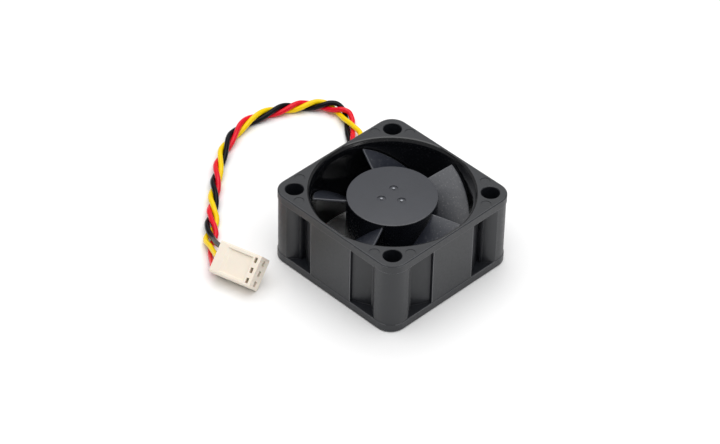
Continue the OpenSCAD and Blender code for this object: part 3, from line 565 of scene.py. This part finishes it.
def winding(name, colour, pitch=0.12 * MM):
    """Enamelled wire wound side by side on each pole, with painted shade between the turns."""
    made = Finish(name)
    place = made.place()
    x, y = made.parts(place)[:2]
    along = x.absolute().larger(y.absolute())
    turns = (along * (2 * math.pi / pitch)).sine()
    cloud = made.noise(place, scale=900, detail=3)
    # Painted shade: the base colour darkens between the turns, where the grooves lie in shade
    shade = (turns * 0.5 + 0.5).clamped()
    base = made.mix(shade, rgba(colour, gain=0.45), rgba(colour, gain=1.1))
    normal = made.bump(turns, strength=0.6, depth=0.04 * MM)
    return made.close(
        Base_Color=base, Metallic=0.9, Roughness=0.32 + (cloud - 0.5) * 0.15, Normal=normal,
        Coat_Weight=0.3
    )


def laminated(name, colour, sheet=0.35 * MM):
    """Stack of thin steel sheets."""
    made = Finish(name)
    place = made.place()
    height = made.parts(place)[2]
    lines = (height * (2 * math.pi / sheet)).sine()
    groove = lines > 0.86
    cloud = made.noise(place, scale=600, detail=4)
    dull = (cloud * 0.5 + groove * 0.5).clamped()
    base = made.mix(dull, rgba(colour, gain=1.1), rgba(colour, gain=0.5))
    normal = made.bump(1 - groove, strength=0.4, depth=0.03 * MM)
    return made.close(Base_Color=base, Metallic=0.85, Roughness=0.4 + dull * 0.2, Normal=normal)


def ferrite(name, colour):
    """Dark sintered ring magnet."""
    made = Finish(name)
    place = made.place()
    speck = made.noise(place, scale=4200, detail=3, rough=0.7)
    base = made.mix((speck > 0.62) * 0.35, rgba(colour), rgba(colour, gain=2.2))
    edges = made.rounded(0.1 * MM)
    normal = made.bump(speck, strength=0.25, depth=0.05 * MM, normal=edges)
    return made.close(Base_Color=base, Roughness=0.55 + (speck - 0.5) * 0.2, Normal=normal)


def board_mask(name, colour, track=0.9 * MM):
    """Green solder mask over copper tracks that run round the board."""
    made = Finish(name)
    place = made.place()
    bands = (made.radius(place) * (2 * math.pi / track)).sine()
    wander = made.noise(place, scale=500, detail=1)
    raised = (bands + wander * 1.2) > 0.75
    fine = made.noise(place, scale=2500, detail=2)
    base = made.mix(raised, rgba(colour, gain=0.8), rgba(colour, gain=1.7))
    normal = made.bump(raised, strength=0.3, depth=0.03 * MM)
    return made.close(
        Base_Color=base, Roughness=0.28 + (fine - 0.5) * 0.1, Normal=normal, Coat_Weight=0.2
    )


def finish_nodes(material, *names):
    """Puts one material on each named CAD node."""
    for name in names:
        slots = NODES[name].material_slots
        if not slots:
            raise RuntimeError(f"{name} has no material slot")
        for slot in slots:
            slot.material = material


def deselect():
    """Leaves edit mode and selects nothing."""
    if bpy.context.object is not None and bpy.context.object.mode != "OBJECT":
        bpy.ops.object.mode_set(mode="OBJECT")
    bpy.ops.object.select_all(action="DESELECT")


def only(piece):
    """Makes one object the selected and active one."""
    deselect()
    piece.select_set(True)
    bpy.context.view_layer.objects.active = piece


def settle(piece):
    """Moves an object's place, turn and size into its mesh."""
    only(piece)
    bpy.ops.object.transform_apply(location=True, rotation=True, scale=True)


def apply_modifier(piece, name, kind, settings):
    """Adds a modifier with these settings to an object and applies it."""
    only(piece)
    modifier = piece.modifiers.new(name, kind)
    for key, value in settings.items():
        setattr(modifier, key, value)
    bpy.ops.object.modifier_apply(modifier=name)


def heading(angle):
    """Level direction at this angle from +X."""
    return Vector((math.cos(angle), math.sin(angle), 0))


def smooth_line(points, steps):
    """Curve through the points, with this many steps between neighbours."""
    ends = [2 * points[0] - points[1]] + list(points) + [2 * points[-1] - points[-2]]
    line = []
    for i in range(1, len(ends) - 2):
        a, b, c, d = ends[i - 1:i + 3]
        for k in range(steps):
            t = k / steps
            line.append(0.5 * (
                2 * b + (c - a) * t + (2 * a - 5 * b + 4 * c - d) * t * t
                + (3 * b - a - 3 * c + d) * t * t * t
            ))
    line.append(points[-1].copy())
    return line


def lengths(line):
    """Distance of each point from the first, along the line."""
    out = [0.0]
    for a, b in zip(line, line[1:]):
        out.append(out[-1] + (b - a).length)
    return out


def between(table, x):
    """Value of a smooth curve through a table of (x, y) pairs, flat beyond its ends."""
    if x <= table[0][0]:
        return table[0][1]
    if x >= table[-1][0]:
        return table[-1][1]
    i = max(k for k in range(len(table) - 1) if table[k][0] <= x)

    def slope(k):
        low, high = max(k - 1, 0), min(k + 1, len(table) - 1)
        return (table[high][1] - table[low][1]) / (table[high][0] - table[low][0])

    (x0, y0), (x1, y1) = table[i], table[i + 1]
    h = x1 - x0
    t = (x - x0) / h
    return (
        (2 * t ** 3 - 3 * t ** 2 + 1) * y0 + (t ** 3 - 2 * t ** 2 + t) * h * slope(i)
        + (3 * t ** 2 - 2 * t ** 3) * y1 + (t ** 3 - t ** 2) * h * slope(i + 1)
    )


class COOLFAN_OT_stage(bpy.types.Operator):
    """Makes the camera, floor, lamps and sky"""

    bl_idname = "coolfan.stage"
    bl_label = "Camera, Floor and Lamps"

    def camera(self):
        away = Vector((
            math.sin(VIEW_AZIMUTH) * math.cos(VIEW_ELEVATION),
            -math.cos(VIEW_AZIMUTH) * math.cos(VIEW_ELEVATION),
            math.sin(VIEW_ELEVATION),
        ))
        level = heading(VIEW_AZIMUTH)
        upward = away.cross(level)
        across = math.cos(VIEW_ROLL) * level + math.sin(VIEW_ROLL) * upward
        upright = -math.sin(VIEW_ROLL) * level + math.cos(VIEW_ROLL) * upward
        bpy.ops.object.camera_add()
        camera = bpy.context.object
        camera.name = "camera"
        camera.data.lens = VIEW_LENS
        camera.data.sensor_width = VIEW_SENSOR
        turn = Matrix((across, upright, away)).transposed().to_4x4()
        camera.matrix_world = Matrix.Translation(VIEW_TARGET + VIEW_DISTANCE * away) @ turn
        bpy.context.scene.camera = camera

    def floor(self, side):
        deselect()
        bpy.ops.mesh.primitive_plane_add(size=side, location=(0, 0, -FLOOR_DROP))
        floor = bpy.context.object
        floor.name = "floor"
        settle(floor)
        made = Finish("pale_floor")
        made.end(made.node("ShaderNodeBsdfDiffuse", None, {"Color": FLOOR_COLOUR}))
        floor.data.materials.append(made.material)

    def lamp(self, name, power, size, place):
        """Round lamp of this diameter that shines at the origin."""
        bpy.ops.object.light_add(type="AREA", location=place)
        lamp = bpy.context.object
        lamp.name = name
        lamp.data.energy = power
        lamp.data.shape = "DISK"
        lamp.data.size = size
        lamp.rotation_euler = Vector(place).to_track_quat("Z", "Y").to_euler()

    def execute(self, context):
        sizes = context.scene.coolfan_stage
        deselect()
        self.camera()
        self.floor(sizes.floor)
        self.lamp("key_lamp", sizes.key, *KEY_LAMP)
        self.lamp("back_lamp", sizes.back, *BACK_LAMP)
        self.lamp("side_lamp", sizes.side, *SIDE_LAMP)
        world = bpy.data.worlds.new("sky")
        world.use_nodes = True
        sky = next(n for n in world.node_tree.nodes if n.type == "BACKGROUND")
        sky.inputs["Color"].default_value = (1, 1, 1, 1)
        sky.inputs["Strength"].default_value = sizes.sky
        context.scene.world = world
        context.scene.view_settings.view_transform = "Standard"
        return {"FINISHED"}


class COOLFAN_OT_lead(bpy.types.Operator):
    """Twists the three wires from the frame to the plug"""

    bl_idname = "coolfan.lead"
    bl_label = "Twisted Lead"

    def middle(self, sizes):
        """Points along the middle of the twisted part: distance, place and direction of each."""
        points = [heading(LEAD_ANGLE) * MIDDLE_START + Vector((0, 0, CHANNEL_Z))]
        points += [Vector((x * MM, y * MM, sizes.rest_height)) for x, y in LEAD_ROUTE]
        line = smooth_line(points, steps=24)
        far = lengths(line)
        spread, k = [], 0
        for wanted in range(TWISTED[0], TWISTED[1] + 1):
            while far[k + 1] < wanted * MM:
                k += 1
            share = (wanted * MM - far[k]) / (far[k + 1] - far[k])
            ahead = (line[k + 1] - line[k]).normalized()
            spread.append((wanted, line[k].lerp(line[k + 1], share), ahead))
        return spread

    def strand(self, wire, sizes, spread):
        """Points of one wire from its solder joint into the plug."""
        out = heading(LEAD_ANGLE)
        left = Vector((-out.y, out.x, 0)) * wire["channel"] * sizes.pitch
        path = [out * r + left + Vector((0, 0, CHANNEL_Z)) for r in CHANNEL_RADII]
        path += [Vector(point) * MM for point in wire["out"]]
        for far, point, ahead in spread:
            side = ahead.cross(Vector((0, 0, 1))).normalized()
            turn = 2 * math.pi * (between(TWIST, far) - wire["behind"])
            around = math.cos(turn) * side + math.sin(turn) * side.cross(ahead)
            place = point + sizes.twist_radius * around
            place.z = max(place.z, sizes.wire / 2 + FLOOR_GAP)
            path.append(place)
        path += [Vector(point) * MM for point in wire["into"]]
        contact = Vector(wire["contact"]) * MM
        path += [contact + step * heading(PLUG_TURN) for step in CONTACT_STEPS]
        return smooth_line(path, steps=6)

    def execute(self, context):
        sizes = context.scene.coolfan_lead
        colours = context.scene.coolfan_finish
        spread = self.middle(sizes)
        for colour, wire in WIRES.items():
            line = self.strand(wire, sizes, spread)
            curve = bpy.data.curves.new(f"lead_{colour}", "CURVE")
            curve.dimensions = "3D"
            curve.bevel_depth = sizes.wire / 2
            curve.bevel_resolution = 4
            curve.use_fill_caps = True
            spline = curve.splines.new("POLY")
            spline.points.add(len(line) - 1)
            for point, place in zip(spline.points, line):
                point.co = (*place, 1)
            spline.use_smooth = True
            piece = bpy.data.objects.new(f"lead_{colour}", curve)
            context.scene.collection.objects.link(piece)
            material = sleeve(f"{colour}_sleeve", getattr(colours, colour), wire["gloss"])
            curve.materials.append(material)
            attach(piece, "housing")
            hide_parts(f"wire_{colour}")
            lengths(line)[-1]
        return {"FINISHED"}


class COOLFAN_OT_plug(bpy.types.Operator):
    """Finishes the plug and its contacts"""

    bl_idname = "coolfan.plug"
    bl_label = "Plug"

    def execute(self, context):
        colours = context.scene.coolfan_finish
        finish_nodes(nylon("plug_nylon", colours.plug), "connector_housing")
        brass = plain_metal("brass_contact", (0.30, 0.22, 0.11), roughness=0.42)
        finish_nodes(brass, "crimp_terminals")
        return {"FINISHED"}


class COOLFAN_OT_housing(bpy.types.Operator):
    """Finishes the moulded frame and its cap"""

    bl_idname = "coolfan.housing"
    bl_label = "Frame"

    def execute(self, context):
        colours = context.scene.coolfan_finish
        # Frame: painted shade on the duct's inside wall, painted highlights on the outer edges
        finish_nodes(moulded("frame_plastic", colours.housing), "frame")
        finish_nodes(moulded("cap_plastic", colours.housing, roughness=0.5), "dust_cap")
        return {"FINISHED"}


class COOLFAN_OT_impeller(bpy.types.Operator):
    """Models the impeller: a hub with rounded edge and gate marks, and its blades"""

    bl_idname = "coolfan.impeller"
    bl_label = "Impeller"

    def hub(self, sizes, low, high):
        """Cup of the hub, spun from its outline."""
        r = sizes.hub / 2
        inner = r - sizes.wall
        outline = [(inner, low), (r - HUB_LOW_EDGE, low), (r, low + HUB_LOW_EDGE)]
        for i in range(HUB_EDGE_STEPS + 1):
            a = math.pi / 2 * i / HUB_EDGE_STEPS
            across = r - sizes.edge * (1 - math.cos(a))
            outline.append((across, high - sizes.edge * (1 - math.sin(a))))
        outline += [(0, high), (0, high - sizes.top), (inner, high - sizes.top), (inner, low)]
        deselect()
        bpy.ops.mesh.primitive_plane_add(size=1 * MM, location=(0, 0, 0))
        hub = bpy.context.object
        hub.name = "impeller_moulding"
        bpy.ops.object.mode_set(mode="EDIT")
        bpy.ops.mesh.merge(type="CENTER")
        here = Vector((outline[0][0], 0, outline[0][1]))
        bpy.ops.transform.translate(value=here)
        for x, z in outline[1:]:
            there = Vector((x, 0, z))
            bpy.ops.mesh.extrude_region_move(TRANSFORM_OT_translate={"value": there - here})
            here = there
        bpy.ops.mesh.select_all(action="SELECT")
        bpy.ops.mesh.spin(steps=HUB_STEPS, angle=2 * math.pi, center=(0, 0, 0), axis=(0, 0, 1))
        bpy.ops.mesh.select_all(action="SELECT")
        bpy.ops.mesh.remove_doubles(threshold=0.002 * MM)
        bpy.ops.mesh.normals_make_consistent(inside=False)
        bpy.ops.object.mode_set(mode="OBJECT")
        settle(hub)
        return hub

    def gates(self, hub, high):
        """Cuts the round gate marks, leaves a nib in each, and returns their places."""
        places = []
        for i in range(GATES):
            place = GATE_DISTANCE * heading(GATE_START + 2 * math.pi * i / GATES)
            place.z = high
            cutter = self.disc(*GATE_RECESS, place)
            nib = self.disc(*GATE_NIB, place)
            self.combine(cutter, nib, "DIFFERENCE")
            self.combine(hub, cutter, "DIFFERENCE")
            places.append(place)
        return places

    def disc(self, radius, depth, place):
        deselect()
        bpy.ops.mesh.primitive_cylinder_add(
            vertices=48, radius=radius, depth=depth, location=place
        )
        disc = bpy.context.object
        settle(disc)
        return disc

    def combine(self, piece, other, operation):
        """Adds another piece to this one, or cuts it out, and deletes the other."""
        apply_modifier(piece, "combine", "BOOLEAN", {
            "operation": operation, "object": other, "solver": "EXACT",
        })
        bpy.data.objects.remove(other)

    def blade(self, sizes, high):
        """One blade: a grid laid along the cambered middle surface, then given its thickness."""
        deselect()
        along, across = BLADE_FACES
        bpy.ops.mesh.primitive_grid_add(x_subdivisions=along, y_subdivisions=across, size=2)
        blade = bpy.context.object
        root = sizes.hub / 2 - BLADE_ROOT
        thick = blade.vertex_groups.new(name="thick")
        for vertex in blade.data.vertices:
            s = (vertex.co.x + 1) / 2
            q = (vertex.co.y + 1) / 2
            r = root + q * (sizes.tip - root)
            high_edge = high - sizes.drop - (1 - q) * BLADE_ROOT_DROP
            deep = high_edge - sizes.low - q * BLADE_TIP_LIFT
            camber = BLADE_STRAIGHT * s + (1 - BLADE_STRAIGHT) * s * s
            angle = sizes.start - BLADE_SWEEP * q - sizes.arc * s
            vertex.co = (r * math.cos(angle), r * math.sin(angle), high_edge - deep * camber)
            if s < BLADE_THICKEST:
                fullness = math.sin(math.pi / 2 * s / BLADE_THICKEST)
            else:
                fullness = 1 - ((s - BLADE_THICKEST) / (1 - BLADE_THICKEST)) ** 2
            thick.add([vertex.index], BLADE_ENDS + (1 - BLADE_ENDS) * fullness, "REPLACE")
        apply_modifier(blade, "thickness", "SOLIDIFY", {
            "thickness": sizes.thickness, "offset": 0, "vertex_group": "thick",
            "thickness_vertex_group": 0.0, "use_even_offset": False,
        })
        only(blade)
        bpy.ops.object.mode_set(mode="EDIT")
        bpy.ops.mesh.select_all(action="SELECT")
        bpy.ops.mesh.normals_make_consistent(inside=False)
        bpy.ops.object.mode_set(mode="OBJECT")
        apply_modifier(blade, "soft_edges", "BEVEL", {
            "width": BLADE_EDGE, "segments": 3, "limit_method": "ANGLE",
            "angle_limit": math.radians(50),
        })
        return blade

    def execute(self, context):
        sizes = context.scene.coolfan_impeller
        low, high = (corner[2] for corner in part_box("impeller"))
        hub = self.hub(sizes, low, high)
        scars = self.gates(hub, high)
        first = self.blade(sizes, high)
        blades = [first]
        for i in range(1, sizes.blades):
            copy = first.copy()
            copy.data = first.data.copy()
            context.scene.collection.objects.link(copy)
            copy.rotation_euler = (0, 0, 2 * math.pi * i / sizes.blades)
            settle(copy)
            blades.append(copy)
        only(first)
        for blade in blades:
            blade.select_set(True)
        bpy.ops.object.join()
        self.combine(hub, first, "UNION")
        only(hub)
        bpy.ops.object.shade_smooth_by_angle(angle=math.radians(40))
        hub.data.materials.clear()
        # Impeller: painted shade on the hub's side wall, painted highlights on its edges, gate scars
        # partly painted highlight
        hub.data.materials.append(moulded(
            "impeller_plastic", context.scene.coolfan_finish.impeller, roughness=0.36, grain=0.6,
            gloss=0.7, highlight_beyond=4.5 * MM, dusty=(10.9 * MM, 19 * MM), dark=(10.6 * MM, 10.8 * MM),
            sheen=0.1, scars=scars,
        ))
        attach(hub, "rotor")
        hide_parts("impeller")
        return {"FINISHED"}


class COOLFAN_OT_motor(bpy.types.Operator):
    """Finishes the yoke, magnet, stator and windings"""

    bl_idname = "coolfan.motor"
    bl_label = "Motor"

    def execute(self, context):
        yoke = plain_metal("zinc_yoke", (0.56, 0.57, 0.58), roughness=0.38)
        magnet = ferrite("ring_magnet", (0.055, 0.055, 0.06))
        stack = laminated("sheet_stack", (0.30, 0.31, 0.33))
        copper = winding("enamelled_copper", (0.66, 0.25, 0.10))
        insulator = nylon("insulator_nylon", (0.72, 0.68, 0.58), roughness=0.45)
        pin = plain_metal("tinned_pin", (0.72, 0.70, 0.66), roughness=0.25)
        finish_nodes(yoke, "rotor_yoke")
        finish_nodes(magnet, "rotor_magnet")
        finish_nodes(stack, "stator_core")
        finish_nodes(copper, "stator_coils")
        finish_nodes(insulator, "lower_insulator", "upper_insulator")
        finish_nodes(pin, "winding_pins")
        return {"FINISHED"}


class COOLFAN_OT_bearings(bpy.types.Operator):
    """Finishes the shaft, bearings, tube and the small rings"""

    bl_idname = "coolfan.bearings"
    bl_label = "Shaft and Bearings"

    def execute(self, context):
        rings = ("lower_outer_ring", "lower_inner_ring", "upper_outer_ring", "upper_inner_ring")
        ring = turned("ground_ring", (0.62, 0.63, 0.65), roughness=0.18, pitch=0.05 * MM)
        shield = plain_metal("pressed_shield", (0.58, 0.58, 0.60), roughness=0.3)
        ball = polished("ball_steel", (0.68, 0.69, 0.71))
        cage = plain_metal("cage_brass", (0.78, 0.56, 0.22), roughness=0.3)
        shaft = turned("ground_shaft", (0.64, 0.65, 0.67), roughness=0.14, pitch=0.04 * MM)
        brass = turned("turned_brass", (0.76, 0.56, 0.24), roughness=0.24)
        spring = plain_metal("spring_steel", (0.50, 0.50, 0.52), roughness=0.22)
        clip = plain_metal("dark_clip", (0.20, 0.19, 0.18), roughness=0.4)
        finish_nodes(ring, *rings)
        finish_nodes(shield, "lower_shields", "upper_shields")
        finish_nodes(ball, "lower_balls", "upper_balls")
        finish_nodes(cage, "lower_cage", "upper_cage")
        finish_nodes(shaft, "shaft")
        finish_nodes(brass, "shaft_bush", "bearing_tube")
        finish_nodes(spring, "preload_spring")
        finish_nodes(clip, "retaining_ring")
        return {"FINISHED"}


class COOLFAN_OT_board(bpy.types.Operator):
    """Finishes the circuit board and what is on it"""

    bl_idname = "coolfan.board"
    bl_label = "Circuit Board"

    def execute(self, context):
        mask = board_mask("solder_mask", (0.018, 0.16, 0.06))
        epoxy = moulded(
            "chip_epoxy", (0.022, 0.022, 0.024), roughness=0.5, grain=0.2, edge=0.04 * MM
        )
        ceramic = moulded(
            "chip_ceramic", (0.42, 0.33, 0.22), roughness=0.45, grain=0.1, edge=0.05 * MM
        )
        solder = plain_metal("solder", (0.66, 0.67, 0.69), roughness=0.16, scale=500)
        finish_nodes(mask, "circuit_board")
        finish_nodes(epoxy, "hall_sensor", "driver_chip")
        finish_nodes(ceramic, "board_components")
        finish_nodes(solder, "solder_joints")
        return {"FINISHED"}


class COOLFAN_PT_panel(bpy.types.Panel):
    """Lists the steps that build the fan"""

    bl_idname = "COOLFAN_PT_panel"
    bl_label = "Cooling Fan"
    bl_space_type = "VIEW_3D"
    bl_region_type = "UI"
    bl_category = "Cooling Fan"

    def draw(self, context):
        for step in STEPS:
            self.layout.operator(step.bl_idname)
        for name in SETTINGS:
            group = getattr(context.scene, name)
            box = self.layout.box()
            for key in group.bl_rna.properties.keys():
                if key not in ("rna_type", "name"):
                    box.prop(group, key)


STEPS = (
    COOLFAN_OT_stage, COOLFAN_OT_lead, COOLFAN_OT_plug, COOLFAN_OT_housing, COOLFAN_OT_impeller,
    COOLFAN_OT_motor, COOLFAN_OT_bearings, COOLFAN_OT_board,
)
SETTINGS = {
    "coolfan_lead": LeadSizes, "coolfan_impeller": ImpellerSizes,
    "coolfan_finish": FinishColours, "coolfan_stage": StageSizes,
}


def register():
    for group in SETTINGS.values():
        bpy.utils.register_class(group)
    for name, group in SETTINGS.items():
        setattr(bpy.types.Scene, name, PointerProperty(type=group))
    for step in STEPS:
        bpy.utils.register_class(step)
    bpy.utils.register_class(COOLFAN_PT_panel)


def unregister():
    bpy.utils.unregister_class(COOLFAN_PT_panel)
    for step in reversed(STEPS):
        bpy.utils.unregister_class(step)
    for name in SETTINGS:
        delattr(bpy.types.Scene, name)
    for group in reversed(list(SETTINGS.values())):
        bpy.utils.unregister_class(group)


def main():
    register()
    bpy.ops.coolfan.stage()
    bpy.ops.coolfan.lead()
    bpy.ops.coolfan.plug()
    bpy.ops.coolfan.housing()
    bpy.ops.coolfan.impeller()
    bpy.ops.coolfan.motor()
    bpy.ops.coolfan.bearings()
    bpy.ops.coolfan.board()


if __name__ == "__main__":
    main()
